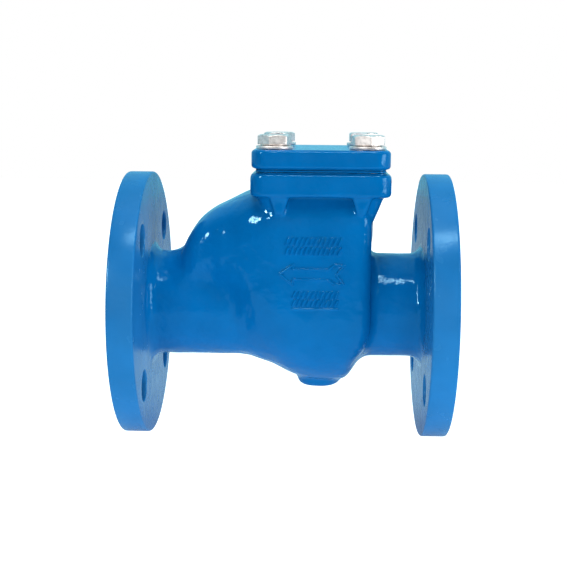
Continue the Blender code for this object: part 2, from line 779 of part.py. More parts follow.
def make_disc_fastening(disc, placing):
    washer_high = ARM_X[0] - GAP
    washer_low = washer_high - DISC_WASHER_THICKNESS
    hole = STUD_RADIUS + GAP
    ring = [
        (DISC_WASHER_RADIUS, -washer_low),
        (DISC_WASHER_RADIUS, -washer_high),
        (hole, -washer_high),
        (hole, -washer_low),
    ]
    turned(
        "disc_washer",
        ring,
        Vector(),
        axis=-X_AXIS,
        sides=24,
        finish=STAINLESS,
        **placing,
    )
    nut_high = Vector((washer_low - GAP, 0, 0))
    nut_low = nut_high - X_AXIS * DISC_NUT_THICKNESS
    nut = rod(
        "disc_nut",
        DISC_NUT_FLATS / 2 / math.cos(math.pi / 6),
        nut_low,
        nut_high,
        sides=6,
        finish=STAINLESS,
        **placing,
    )
    start = nut_low - X_AXIS * MM
    cut(nut, rod("nut_bore", hole, start, nut_high + X_AXIS * MM, sides=24))
    across = Y_AXIS * SPLIT_PIN_HALF_LENGTH
    middle = Vector((nut_low.x - GAP - SPLIT_PIN_RADIUS, 0, 0))
    rod(
        "disc_split_pin",
        SPLIT_PIN_RADIUS,
        middle - across,
        middle + across,
        sides=10,
        finish=STAINLESS,
        **placing,
    )
    drill = SPLIT_PIN_RADIUS + GAP
    cut(disc, rod("split_pin_hole", drill, middle - across, middle + across, sides=10))


def joint_origin(name, place, parent=None):
    """An empty on a joint's axis, which carries that joint's pieces."""
    empty = bpy.data.objects.new(name, None)
    empty.empty_display_size = 10 * MM
    empty.location = place
    empty.parent = parent
    parts.objects.link(empty)
    return empty


make_body()
make_seat_ring()
make_bonnet()
swing_axis = joint_origin("swing_axis", Vector((PIN_X, 0, PIN_Z)))
spin_axis = joint_origin("spin_axis", Vector((DISC_BACK_X, 0, 0)))
make_hinge(swing_axis)
make_arm(swing_axis)
make_disc(spin_axis)
spin_axis.location -= swing_axis.location
spin_axis.parent = swing_axis
bpy.context.view_layer.update()
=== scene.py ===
"""Looks for the flanged swing check valve: the cast skin, its paint and the metal inside.

Shapes are worked out in millimetres in the frame's axes: +X along the bore towards the
inlet, +Z up towards the bonnet, -Y the side with the flow arrow.
"""

import math

import bmesh
import bpy
import numpy as np
from mathutils import Matrix, Vector, noise


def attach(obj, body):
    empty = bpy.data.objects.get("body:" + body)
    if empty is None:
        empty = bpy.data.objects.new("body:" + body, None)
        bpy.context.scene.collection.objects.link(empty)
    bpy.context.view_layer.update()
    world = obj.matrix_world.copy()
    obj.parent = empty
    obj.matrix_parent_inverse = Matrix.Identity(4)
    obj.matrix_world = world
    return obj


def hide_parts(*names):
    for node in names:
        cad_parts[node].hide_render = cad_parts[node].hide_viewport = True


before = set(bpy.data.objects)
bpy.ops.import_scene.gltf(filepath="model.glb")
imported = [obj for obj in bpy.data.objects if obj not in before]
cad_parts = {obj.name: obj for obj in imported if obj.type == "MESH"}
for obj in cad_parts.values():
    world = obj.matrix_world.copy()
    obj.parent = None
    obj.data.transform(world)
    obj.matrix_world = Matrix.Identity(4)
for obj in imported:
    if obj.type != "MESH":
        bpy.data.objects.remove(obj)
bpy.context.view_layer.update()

MM = 0.001
BODY, ARM, DISC = "valve_body", "swing_arm", "valve_disc"
X_AXIS = Vector((1, 0, 0))
Y_AXIS = Vector((0, 1, 0))
Z_AXIS = Vector((0, 0, 1))

# Flanges and pipe ends
NECK = 32.6
BORE = 25.0
FACE = 101.5
RAISED = (49.5, 1.4)  # radius, height
FLANGE = (82.5, 15.6)  # radius, thickness
FLANGE_BACK = FACE - RAISED[1] - FLANGE[1]
HOLE = 9.5
HOLE_CIRCLE = 62.5
EDGE_RADIUS = 1.3
INTO_FLANGE = 88.0  # how far out the casting reaches into each flange
SEAT_POCKET = (30.5, 35.5, 46.3)  # radius, first x, last x

# The belly and its chamber at stations along the bore:
# (x, half width, bottom, low spring line, high spring line, top)
BELLY = [
    (60.0, 46.6, -20.0, 0.0, 50.0, 74.0),
    (52.5, 46.7, -27.0, 0.0, 50.0, 74.0),
    (48.0, 46.8, -32.0, 0.0, 50.0, 74.0),
    (45.0, 46.9, -35.4, 0.0, 50.0, 74.0),
    (42.5, 46.9, -39.4, 0.0, 50.0, 74.0),
    (40.0, 47.0, -43.6, 0.0, 50.0, 74.0),
    (37.5, 47.0, -46.4, 0.0, 50.0, 74.0),
    (33.0, 47.0, -47.8, 0.0, 50.0, 74.0),
    (21.0, 47.0, -48.2, 0.0, 50.0, 74.0),
    (5.0, 46.8, -44.6, 2.0, 50.0, 74.0),
    (-7.0, 45.6, -38.6, 8.0, 49.0, 73.5),
    (-18.8, 43.2, -33.0, 18.0, 46.0, 72.6),
    (-25.0, 41.2, -26.0, 28.0, 43.0, 70.9),
    (-30.0, 39.2, -14.0, 33.0, 40.0, 68.6),
    (-37.5, 36.5, -2.0, 35.0, 38.0, 64.9),
    (-44.5, 34.0, 6.0, 34.0, 36.0, 61.3),
    (-50.8, 32.5, 8.0, 32.0, 33.0, 57.0),
    (-55.3, 31.5, 8.0, 29.0, 30.0, 52.6),
    (-60.4, 29.0, 8.0, 24.0, 25.0, 44.4),
    (-64.5, 26.0, 4.0, 18.0, 18.5, 36.5),
    (-70.0, 22.0, 0.0, 12.0, 12.0, 30.0),
    (-80.0, 20.0, 0.0, 10.0, 10.0, 26.0),
]
CHAMBER = [
    (50.0, 36.0, -22.0, 0.0, 46.0, 65.5),
    (44.6, 37.0, -28.0, 0.0, 46.0, 66.0),
    (38.5, 39.0, -37.0, 0.0, 46.0, 67.0),
    (21.0, 39.6, -41.0, 0.0, 46.0, 67.0),
    (5.0, 39.2, -37.5, 2.0, 46.0, 67.0),
    (-7.0, 38.0, -31.5, 8.0, 46.0, 66.5),
    (-18.8, 35.4, -24.0, 18.0, 44.0, 65.0),
    (-25.0, 33.8, -16.0, 24.0, 42.0, 62.6),
    (-30.0, 32.0, -6.0, 28.0, 40.0, 60.0),
    (-37.5, 29.0, 4.0, 28.0, 36.0, 56.0),
    (-44.5, 26.2, 6.0, 27.0, 30.0, 51.0),
    (-50.8, 23.6, 6.0, 22.0, 24.0, 44.0),
    (-57.0, 20.6, 4.0, 14.0, 15.0, 33.6),
    (-62.0, 17.6, 0.0, 8.0, 8.0, 23.6),
]
BELLY_END = 51.3
BELLY_START = -78.0
CHAMBER_END = 44.6
CHAMBER_START = -62.0
THROAT = (16.9, 34.4, 38.5, 12.0)  # middle x, half sizes, corner
THROAT_Z = (46.0, 76.0)
SEAT_BOSS = (33.8, 43.5, 3.5)  # radius, middle x, half length
LUG = ((33.5, 14.0), (28.6, 12.3), (43.4, 5.45))  # middle and half size along x, y, z
ROOT_RADIUS = 46.0
DRAIN_X = 21.0
DRAIN_Z = (-51.8, -38.0)
DRAIN_RADII = (13.0, 15.0)
CAST_BOX = ((-90.0, -53.0, -56.0), (90.0, 53.0, 87.0))

# Bonnet, its pad on the body and its bolts
BONNET_X = 20.6
PAD = (41.5, 50.5)
PAD_Z = (71.0, 84.8)
COVER = (40.8, 50.0)
COVER_Z = (87.4, 98.5)
CORNER = 9.0
LAND_INSET = 3.2
LAND_HEIGHT = 0.5
LAND = (PAD[0] - LAND_INSET, PAD[1] - LAND_INSET)
OPENING = (26.0, 38.0)
BOLT_AT = (27.5, 36.0)
BOLT_HOLE = 6.75
TAPPED_HOLE = 6.3
WASHER_Z = (98.8, 100.6)
WASHER = (6.6, 10.8)
BOLT = (18.0, 6.2, 6.0)  # across flats, head height, shank radius
BOLT_END = 63.0
BOLT_TURNS = (-14.0, 9.0, 24.0, 3.0)
BOSS_Z = (54.0, 73.0)
BOSS_RADII = (3.4, 10.8)
BOSS_FRONT = (24.2, 60.5)  # x from the bonnet's middle, lowest z

# Hinge, seat and disc
PIN = (32.0, 49.0)  # x, z
SEAT = 38.0
ARM_MIDDLE = 25.1
ARM_BOX = ((16.0, -17.0, -16.0), (46.0, 17.0, 62.0))
HUB = (10.0, 13.7)  # radius, half length
EYE_RADIUS = 13.0
ARM_HALF = 3.5  # half the thickness of the web and the eye
KEEPER_SCREW_AT = (8.5, 22.5)
KEEPER_SCREW_Z = 56.8
KEEPER_SCREW = (3.4, 4.0, 2.0, 15.8, 3.2)  # head and shank, radius and length; socket
RETAINER_CIRCLE = 14.0
SPLIT_PIN_X = 11.5
NO_LIMIT = 99.0  # for a hexagon that no circle cuts

# Raised marks on the -Y side, as (x, z)
STROKE = (0.6, 1.2)  # half width, height
ARROW = [
    (-2.7, 25.8),
    (4.9, 31.2),
    (4.9, 28.6),
    (25.6, 28.4),
    (29.4, 31.4),
    (35.0, 31.0),
    (30.6, 25.6),
    (34.8, 20.0),
    (29.4, 19.8),
    (25.6, 22.6),
    (4.9, 22.8),
    (4.9, 19.6),
    (-2.7, 25.6),
]
ARROW_FILL = [  # from, to, half width, height
    ((4.0, 25.6), (27.5, 25.6), 2.6, 0.45),
    ((0.4, 25.8), (3.4, 27.9), 1.2, 0.45),
    ((0.4, 25.4), (3.4, 23.0), 1.2, 0.45),
    ((27.6, 26.6), (31.0, 29.4), 1.3, 0.45),
    ((27.6, 24.6), (31.0, 21.8), 1.3, 0.45),
]
UNDERLINE = ((4.6, 5.0), (31.6, 5.0), 0.5, 0.8)
UPPER_ROW = (1.4, 42.3, 32.4, 5.0, 12)  # first x, middle z, last x, half height, ribs
LOWER_ROW = (5.6, 10.9, 30.8, 4.4, 10)
RIB_LEAN = 0.7
FRONT = ((-6.0, 39.0), (1.5, 50.5))  # x and z that the marks stay within
MARK_EDGE = 0.42

# Paint: two shades between which it drifts
PAINT = ((0.0, 0.1, 0.305), (0.0, 0.118, 0.355))
# The flanges' copy of the paint, lighter and a touch redder: painted reflection, for the light
# that the turned rims catch
TURNED_PAINT_WITH_PAINTED_REFLECTION = ((0.008, 0.118, 0.318), (0.01, 0.138, 0.372))

# CAD nodes that stay in view, in stainless steel
KEPT = ("pin_keeper_left", "pin_keeper_right")

# Room, lights and camera
FLOOR = ((-1.6, -0.42), (1.6, 2.4))
FLOOR_Z = -FLANGE[0] * MM - 0.0002
FLOOR_SHADES = ((0.2, 0.36, 0.42), (0.23, 0.4, 0.46))
FLOOR_GLOW = (1.2, 0.24)  # as seen, and as mirrored in the paint
ROOM = ((0.42, 0.08), (0.62, 0.8))  # shade before and behind the valve
ROOM_TINT = (0.27, 0.85, 1.05)
LIGHTS = [  # name, place, aim, size, power, what it shows in
    ("front", (-0.1, -1.7, 0.3), (0, 0, 0), (1.6, 1.2), 21, "diffuse"),
    ("side", (1.5, -0.75, 0.3), (0, 0, 0), (0.8, 0.8), 14, "diffuse glossy"),
    ("above", (0.0, 0.0, 1.3), (0, 0, 0.05), (0.9, 0.9), 17, "diffuse"),
    ("key", (-1.0, -1.12, 0.74), (0, 0, 0.02), (0.16, 0.4), 17, "glossy"),
    ("strip", (0.1, -0.55, 1.2), (0, 0, 0.05), (0.7, 0.14), 7, "glossy"),
    ("fill", (0.7, -0.85, 0.85), (0, 0, 0), (0.12, 0.12), 0.7, "glossy"),
]
CAMERA_AT = Vector((0.0211, -0.6764, 0.1217))
CAMERA_TURN = (0.1600, -0.0344, 0.0082)  # pitch, yaw, roll
CAMERA_LENS = 68.53


# ---------------------------------------------------------------- distances, negative inside


def at_stations(x, stations, column):
    """A station value anywhere along the bore, on a smooth monotone curve."""
    table = np.array(sorted(stations))
    xs, ys = table[:, 0], table[:, column]
    slopes = np.diff(ys) / np.diff(xs)
    tangent = np.zeros(len(xs))
    same = slopes[:-1] * slopes[1:] > 0
    mean = (slopes[:-1] + slopes[1:]) / 2
    limit = 3 * np.minimum(abs(slopes[:-1]), abs(slopes[1:]))
    tangent[1:-1] = np.where(same, np.sign(mean) * np.minimum(abs(mean), limit), 0)
    x = np.clip(x, xs[0], xs[-1])
    i = np.clip(np.searchsorted(xs, x) - 1, 0, len(xs) - 2)
    width = xs[i + 1] - xs[i]
    t = (x - xs[i]) / width
    return (
        ys[i] * (2 * t**3 - 3 * t**2 + 1)
        + ys[i + 1] * (3 * t**2 - 2 * t**3)
        + width * tangent[i] * (t**3 - 2 * t**2 + t)
        + width * tangent[i + 1] * (t**3 - t**2)
    )


def union(a, b, radius=0.0):
    """Two solids joined, with a round fillet in the corner between them."""
    if radius == 0:
        return np.minimum(a, b)
    corner = np.hypot(np.maximum(radius - a, 0), np.maximum(radius - b, 0))
    return np.maximum(radius, np.minimum(a, b)) - corner


def overlap(a, b, radius=0.0):
    """What two solids share, with its edge rounded off."""
    return -union(-a, -b, radius)


def true_scale(field, step):
    """A field scaled so that it measures distance near its surface."""
    gradient = np.gradient(field, step)
    steepness = np.sqrt(sum(g * g for g in gradient))
    return field / np.maximum(steepness, 0.25)


def sections(x, y, z, stations, roof):
    """The solid that the stations describe, with flat sides between its spring lines."""
    half, bottom, low, high, top = (
        at_stations(x.ravel(), stations, column)[:, None, None] for column in range(1, 6)
    )
    across = abs(y) / half
    above = np.maximum(z - high, 0) / (top - high)
    below = np.maximum(low - z, 0) / (low - bottom)
    upper = (across**roof + above**roof) ** (1 / roof)
    lower = np.hypot(across, below)
    return (np.where(z > high, upper, lower) - 1) * half


def upright_slab(x, y, half_x, half_y, corner):
    """An endless rounded rectangle along Z."""
    dx = abs(x) - (half_x - corner)
    dy = abs(y) - (half_y - corner)
    outside = np.hypot(np.maximum(dx, 0), np.maximum(dy, 0))
    return outside + np.minimum(np.maximum(dx, dy), 0) - corner


def upright_cone(x, y, z, place, heights, radii, edge):
    """A tapered boss standing along Z, with its edges rounded."""
    low, high = heights
    share = np.clip((z - low) / (high - low), 0, 1)
    radius = radii[0] + (radii[1] - radii[0]) * share
    side = np.hypot(x - place[0], y - place[1]) - radius
    return overlap(side, np.maximum(low - z, z - high), edge)


def boss_front(x, y, z, place):
    """The narrow face of a bolt boss, which comes down the wall as a V."""
    across, low = BOSS_FRONT
    share = np.clip((z - low) / 11.0, 0, 1)
    middle = BONNET_X + math.copysign(across, place[0] - BONNET_X)
    side = abs(x - middle) - (2.6 + 3.4 * share)
    depth = np.maximum(abs(y) - (47.4 + 1.0 * share), 36.0 - abs(y))
    depth = np.maximum(depth, -y * np.sign(place[1]))
    outline = overlap(side + 0 * y, np.maximum(low - z, z - BOSS_Z[1]) + 0 * y, 0.8)
    return overlap(outline, depth, 0.7)


def cast_outside(x, y, z, step):
    """The rough casting between its two flanges, with nothing cut out of it."""
    from_axis = np.hypot(y, z)
    neck = np.maximum(from_axis - NECK, abs(x) - INTO_FLANGE)
    belly = true_scale(sections(x, y, z, BELLY, 3.0), step)
    belly = overlap(belly, np.maximum(x - BELLY_END, BELLY_START - x) + 0 * belly, 7.5)
    throat = upright_slab(x - THROAT[0], y, *THROAT[1:])
    throat = overlap(throat, np.maximum(z - THROAT_Z[1], THROAT_Z[0] - z), 0)
    pad_side = upright_slab(x - BONNET_X, y, *PAD, CORNER)
    pad = overlap(pad_side, z - PAD_Z[1], 2.4)
    pad = overlap(pad, PAD_Z[0] - z, 2.0)
    solid = union(belly, throat, 4.0)
    solid = union(solid, pad, 2.2)
    for place in bolt_places():
        boss = upright_cone(x, y, z, place, BOSS_Z, BOSS_RADII, 1.4)
        solid = union(solid, union(boss, boss_front(x, y, z, place), 0.8), 1.0)
    solid = union(solid, neck, 6.0)
    boss = upright_cone(x, y, z, (DRAIN_X, 0.0), DRAIN_Z, DRAIN_RADII, 3.6)
    solid = union(solid, boss, 3.0)
    # the root of each flange, which dips into its back a little way out
    back = FLANGE_BACK + 0.03 * (from_axis - 43.0)
    root = union(neck, back - abs(x) + 0 * neck, 7.0)
    root = np.maximum(root, np.maximum(from_axis - ROOT_RADIUS, abs(x) - INTO_FLANGE))
    return union(solid, root)


def cast_chamber(x, y, z, step):
    """The space that the casting's core leaves, up to the bonnet."""
    room = true_scale(sections(x, y, z, CHAMBER, 2.6), step)
    room = overlap(room, np.maximum(x - CHAMBER_END, CHAMBER_START - x) + 0 * room, 3.0)
    mouth = np.hypot((x - BONNET_X) / OPENING[0], y / OPENING[1]) - 1
    mouth = overlap(true_scale(mouth * 30 + 0 * z, step), 58.0 - z, 0)
    return union(room, mouth, 1.5)


def cast_inside(x, y, z):
    """What stands in the chamber: the seat's boss and the two lugs for the hinge pin."""
    radius, middle, half_length = SEAT_BOSS
    boss = np.maximum(np.hypot(y, z) - radius, abs(x - middle) - half_length)
    lug_x, lug_y, lug_z = (
        abs(place - middle) - half for place, (middle, half) in zip((x, abs(y), z), LUG)
    )
    lug = overlap(np.maximum(lug_x, lug_y) + 0 * z, lug_z, 0.6)
    return union(boss, lug, 1.5)


def casting(x, y, z, step):
    hollow = overlap(cast_outside(x, y, z, step), -cast_chamber(x, y, z, step), 0.8)
    held = np.maximum(cast_inside(x, y, z), cast_outside(x, y, z, step) + 3.0)
    return union(hollow, held, 2.0)


def surface_nets(field, origin, step):
    """The zero surface of a field on a grid, as one point in each crossed cell."""
    inside = field < 0
    cells = tuple(n - 1 for n in field.shape)
    count = np.zeros(cells, np.int8)
    for corner in np.ndindex(2, 2, 2):
        count += inside[tuple(slice(c, c + n) for c, n in zip(corner, cells))]
    active = (count > 0) & (count < 8)
    number = np.full(cells, -1, np.int64)
    number[active] = np.arange(active.sum())
    where = np.argwhere(active)
    total = np.zeros((len(where), 3))
    crossings = np.zeros(len(where))
    for axis in range(3):
        others = [a for a in range(3) if a != axis]
        for shift in np.ndindex(2, 2):
            start = where.copy()
            start[:, others[0]] += shift[0]
            start[:, others[1]] += shift[1]
            end = start.copy()
            end[:, axis] += 1
            a = field[tuple(start.T)]
            b = field[tuple(end.T)]
            crossed = (a < 0) != (b < 0)
            share = np.where(crossed, a / np.where(crossed, a - b, 1), 0)
            point = start.astype(float)
            point[:, axis] += share
            total += point * crossed[:, None]
            crossings += crossed
    points = total / crossings[:, None] * step + origin
    faces = []
    for axis in range(3):
        u, v = [(1, 2), (2, 0), (0, 1)][axis]
        low = inside[tuple(slice(0, -1) if a == axis else slice(1, -1) for a in range(3))]
        high = inside[
            tuple(slice(1, None) if a == axis else slice(1, -1) for a in range(3))
        ]
        for leaving in (True, False):
            edge = np.argwhere((low if leaving else high) & ~(high if leaving else low))
            edge[:, [a for a in range(3) if a != axis]] += 1
            ring = []
            for du, dv in ((1, 1), (0, 1), (0, 0), (1, 0)):
                cell = edge.copy()
                cell[:, u] -= du
                cell[:, v] -= dv
                ring.append(number[tuple(cell.T)])
            quads = np.stack(ring, axis=1)
            faces.append(quads if leaving else quads[:, ::-1])
    return points, np.concatenate(faces)


def shifted(shape, axis, du, dv):
    """Slices across the axis that leave out one layer each way, from the shift on."""
    cut = [slice(None)] * 3
    u, v = [a for a in range(3) if a != axis]
    cut[u] = slice(du, shape[u] - 1 + du)
    cut[v] = slice(dv, shape[v] - 1 + dv)
    return tuple(cut)


def without_pinches(field):
    """Fills the cells where a surface would touch itself at one point or edge."""
    for _ in range(4):
        inside = field < 0
        changed = False
        for axis in range(3):
            corners = {
                shift: shifted(field.shape, axis, *shift) for shift in np.ndindex(2, 2)
            }
            a, b = inside[corners[0, 0]], inside[corners[1, 1]]
            c, d = inside[corners[0, 1]], inside[corners[1, 0]]
            for bad, corner in ((a & b & ~c & ~d, (0, 1)), (c & d & ~a & ~b, (0, 0))):
                if bad.any():
                    changed = True
                    field[corners[corner]][bad] = -0.05
        if not changed:
            break
    return field


# ---------------------------------------------------------------- meshes


def linked(name, data):
    """A new object in the scene."""
    made = bpy.data.objects.new(name, data)
    bpy.context.scene.collection.objects.link(made)
    return made


def finished(name, mesh, angle=35):
    """An object for a mesh in metres, smooth but for edges sharper than the angle."""
    mesh.name = name
    made = linked(name, mesh)
    resharpen(made, angle)
    return made


def resharpen(piece, angle):
    piece.data.shade_smooth()
    piece.data.set_sharp_from_angle(angle=math.radians(angle))


def mesh_from(shape, mesh=None):
    """What has been worked out in a bmesh, as a new mesh unless one is given."""
    mesh = mesh or bpy.data.meshes.new("shape")
    shape.to_mesh(mesh)
    shape.free()
    return mesh


def turn_to(axis):
    return Z_AXIS.rotation_difference(axis).to_matrix().to_4x4()


def mesh_of(points, faces):
    mesh = bpy.data.meshes.new("shape")
    scaled = np.asarray(points, float) * MM
    mesh.from_pydata(scaled.tolist(), [], faces)
    mesh.update()
    return mesh


def surface_mesh(distance, box, step):
    """The surface on which a distance is zero, looked for in a box."""
    low, high = box
    axes = [np.arange(a, b + step, step) for a, b in zip(low, high)]
    field = distance(*np.meshgrid(*axes, indexing="ij", sparse=True))
    points, faces = surface_nets(without_pinches(field), np.array(low), step)
    return mesh_of(points, faces.tolist())


def softened(corners, steps=4):
    """A closed outline, each corner rounded by the radius given as its third number."""
    outline = []
    for i, (u, v, *radius) in enumerate(corners):
        here = Vector((u, v))
        if not radius:
            outline.append((u, v))
            continue
        before = (Vector(corners[i - 1][:2]) - here).normalized() * radius[0]
        after = (Vector(corners[(i + 1) % len(corners)][:2]) - here).normalized() * radius[0]
        for step in range(steps + 1):
            t = step / steps
            outline.append(tuple(here + before * (1 - t) ** 2 + after * t**2))
    return outline


def turned_mesh(profile, axis=Z_AXIS, place=(0, 0, 0), sides=128):
    """A closed solid turned from (radius, distance along the axis) corners."""
    profile = softened(profile)
    made = bmesh.new()
    corners = [made.verts.new((radius, 0, height)) for radius, height in profile]
    pairs = list(zip(corners, corners[1:]))
    if profile[0][0] > 0:
        pairs.append((corners[-1], corners[0]))
    edges = [made.edges.new(pair) for pair in pairs]
    bmesh.ops.spin(
        made,
        geom=corners + edges,
        cent=(0, 0, 0),
        axis=(0, 0, 1),
        angle=2 * math.pi,
        steps=sides,
        use_merge=True,
    )
    bmesh.ops.remove_doubles(made, verts=made.verts, dist=0.001)
    bmesh.ops.recalc_face_normals(made, faces=made.faces)
    if made.calc_volume(signed=True) < 0:
        bmesh.ops.reverse_faces(made, faces=made.faces)
    moved = Matrix.Translation(Vector(place) * MM) @ turn_to(axis)
    made.transform(moved @ Matrix.Scale(MM, 4))
    return mesh_from(made)


def cylinder_mesh(radius, low, high, axis=Z_AXIS, place=(0, 0, 0), sides=48):
    return turned_mesh([(0, low), (radius, low), (radius, high), (0, high)], axis, place, sides)


def stacked_mesh(rings):
    """A closed solid through rings of points, each as long as the last."""
    count = len(rings[0])
    faces = [list(range(count))[::-1]]
    for level in range(len(rings) - 1):
        start = level * count
        for i in range(count):
            j = (i + 1) % count
            faces.append([start + i, start + j, start + count + j, start + count + i])
    faces.append([(len(rings) - 1) * count + i for i in range(count)])
    return mesh_of([point for ring in rings for point in ring], faces)


def slab_ring(half, corner, inset, z, steps=10):
    """A rounded rectangle round the bonnet's middle."""
    corner = max(corner - inset, 0.3)
    ring = []
    for quarter, (sx, sy) in enumerate(((1, 1), (-1, 1), (-1, -1), (1, -1))):
        middle = Vector((sx * (half[0] - inset - corner), sy * (half[1] - inset - corner)))
        for step in range(steps + 1):
            angle = math.pi / 2 * (quarter + step / steps)
            ring.append(
                (
                    BONNET_X + middle.x + corner * math.cos(angle),
                    middle.y + corner * math.sin(angle),
                    z,
                )
            )
    return ring


def land_ring(inset, z):
    return slab_ring(LAND, CORNER - LAND_INSET, inset, z)


def combined(target, meshes, operation):
    """The target's mesh joined with, or cut by, each of the other meshes in turn."""
    tools = []
    for mesh in meshes:
        tool = linked("tool", mesh)
        tools.append(tool)
        step = target.modifiers.new("combine", "BOOLEAN")
        step.operation = operation
        step.solver = "MANIFOLD"
        step.object = tool
    bpy.context.view_layer.update()
    depsgraph = bpy.context.evaluated_depsgraph_get()
    mesh = bpy.data.meshes.new_from_object(target.evaluated_get(depsgraph))
    target.modifiers.clear()
    old = target.data
    target.data = mesh
    bpy.data.meshes.remove(old)
    for tool in tools:
        spent = tool.data
        bpy.data.objects.remove(tool)
        bpy.data.meshes.remove(spent)


def joined(meshes):
    """One mesh of several that don't touch."""
    made = bmesh.new()
    for mesh in meshes:
        made.from_mesh(mesh)
        bpy.data.meshes.remove(mesh)
    return mesh_from(made)


# ---------------------------------------------------------------- the casting


def slanted_ribs(first, middle, last, half, count):
    """Two tiers of short ribs, all alike and all leaning the same way."""
    row = []
    for i in range(count):
        x = first + (last - first) * i / (count - 1)
        for z in (middle - 0.56 * half, middle + 0.56 * half):
            low, high = (x - RIB_LEAN, z - 0.36 * half), (x + RIB_LEAN, z + 0.36 * half)
            row.append((low, high, *STROKE))
    return row


def mark_height(x, z, marks):
    """How far the casting stands proud at points of its front face."""
    height = np.zeros(len(x))
    for start, end, half_width, rise in marks:
        along = np.subtract(end, start)
        length = max(along @ along, 1e-9)
        share = ((x - start[0]) * along[0] + (z - start[1]) * along[1]) / length
        share = np.clip(share, 0, 1)
        gap = np.hypot(x - start[0] - share * along[0], z - start[1] - share * along[1])
        edge = np.clip((half_width + MARK_EDGE - gap) / (2 * MARK_EDGE), 0, 1)
        height = np.maximum(height, rise * edge * edge * (3 - 2 * edge))
    return height


def add_marks(shape):
    """Finer faces on the front of the belly, raised into the arrow and the two rows."""
    (x_low, x_high), (z_low, z_high) = FRONT
    shape.normal_update()

    def on_front(point, normal):
        x, y, z = point / MM
        return normal.y < -0.6 and y < -35 and x_low < x < x_high and z_low < z < z_high

    faces = [f for f in shape.faces if on_front(f.calc_center_median(), f.normal)]
    edges = list({edge for face in faces for edge in face.edges})
    bmesh.ops.subdivide_edges(shape, edges=edges, cuts=3, use_grid_fill=True)
    shape.normal_update()
    raised = [v for v in shape.verts if on_front(v.co, v.normal)]
    marks = [(start, end, *STROKE) for start, end in zip(ARROW, ARROW[1:])]
    marks += ARROW_FILL + slanted_ribs(*UPPER_ROW) + slanted_ribs(*LOWER_ROW) + [UNDERLINE]
    x = np.array([v.co.x for v in raised]) / MM
    z = np.array([v.co.z for v in raised]) / MM
    for vert, rise in zip(raised, mark_height(x, z, marks)):
        vert.co.y -= rise * MM


def cast_mesh():
    """The casting as it leaves the mould, between the flanges."""
    step = 1.0
    mesh = surface_mesh(lambda x, y, z: casting(x, y, z, step), CAST_BOX, step)
    shape = bmesh.new()
    shape.from_mesh(mesh)
    for _ in range(4):
        bmesh.ops.smooth_vert(
            shape,
            verts=shape.verts,
            factor=0.5,
            use_axis_x=True,
            use_axis_y=True,
            use_axis_z=True,
        )
    shape.normal_update()
    for vert in shape.verts:
        slow = noise.noise(vert.co * 90)
        quick = noise.noise(vert.co * 260)
        vert.co += vert.normal * (0.2 * slow + 0.07 * quick) * MM
    add_marks(shape)
    return mesh_from(shape, mesh)


def flange_mesh(side):
    """One flange with its raised face, solid until the waterway and holes are cut."""
    radius, thickness = FLANGE
    profile = [
        (0, FLANGE_BACK),
        (radius, FLANGE_BACK, EDGE_RADIUS),
        (radius, FLANGE_BACK + thickness, EDGE_RADIUS),
        (RAISED[0], FLANGE_BACK + thickness, 1.0),
        (RAISED[0], FACE, 0.6),
        (0, FACE),
    ]
    return turned_mesh(profile, axis=side * X_AXIS, sides=192)


def waterway_mesh():
    """The bore from face to face, with the pocket for the seat ring."""
    pocket, pocket_start, pocket_end = SEAT_POCKET
    profile = [
        (0, -FACE - 1.5),
        (BORE + 2.3, -FACE - 1.5),
        (BORE, -FACE + 0.8, 0.5),
        (BORE, pocket_start),
        (pocket, pocket_start),
        (pocket, pocket_end),
        (BORE, pocket_end),
        (BORE, FACE - 0.8, 0.5),
        (BORE + 2.3, FACE + 1.5),
        (0, FACE + 1.5),
    ]
    return turned_mesh(profile, axis=X_AXIS, sides=128)


def machined_cuts():
    """Everything that is drilled or bored in the casting, as one set of tools."""
    cuts = [waterway_mesh()]
    front = FLANGE_BACK + FLANGE[1]
    profile = [
        (0, FLANGE_BACK - 1.5),
        (HOLE + 2.1, FLANGE_BACK - 1.5),
        (HOLE, FLANGE_BACK + 0.6, 0.6),
        (HOLE, front - 0.6, 0.6),
        (HOLE + 2.1, front + 1.5),
        (0, front + 1.5),
    ]
    for side in (-1, 1):
        for number in range(4):
            angle = math.pi / 2 * (number + 0.5)
            y, z = HOLE_CIRCLE * math.cos(angle), HOLE_CIRCLE * math.sin(angle)
            cuts.append(turned_mesh(profile, side * X_AXIS, (0, y, z), sides=64))
    cuts.append(cylinder_mesh(4.4, -29.5, 29.5, Y_AXIS, (PIN[0], 0, PIN[1])))
    for x, y in keeper_screw_places():
        cuts.append(cylinder_mesh(2.4, 40.6, 50, place=(x, y, 0), sides=24))
    for x, y in bolt_places():
        cuts.append(cylinder_mesh(TAPPED_HOLE, 62.6, 88, place=(x, y, 0)))
    return joined(cuts)


def four_places(middle, offsets):
    """The corners of a rectangle about y = 0, in the order in which they are numbered."""
    for side_y in (-1, 1):
        for side_x in (-1, 1):
            yield middle + side_x * offsets[0], side_y * offsets[1]


def bolt_places():
    return four_places(BONNET_X, BOLT_AT)


def keeper_screw_places():
    return four_places(PIN[0], KEEPER_SCREW_AT)


def crisp_bore(mesh):
    """Sharp edges where the bore runs out into the chamber, however flat the corner."""
    shape = bmesh.new()
    shape.from_mesh(mesh)
    for face in shape.faces:
        radii = [math.hypot(vert.co.y, vert.co.z) for vert in face.verts]
        face.tag = all(abs(radius - BORE * MM) < 0.05 * MM for radius in radii)
    for edge in shape.edges:
        if len({face.tag for face in edge.link_faces}) == 2:
            edge.smooth = False
    mesh_from(shape, mesh)


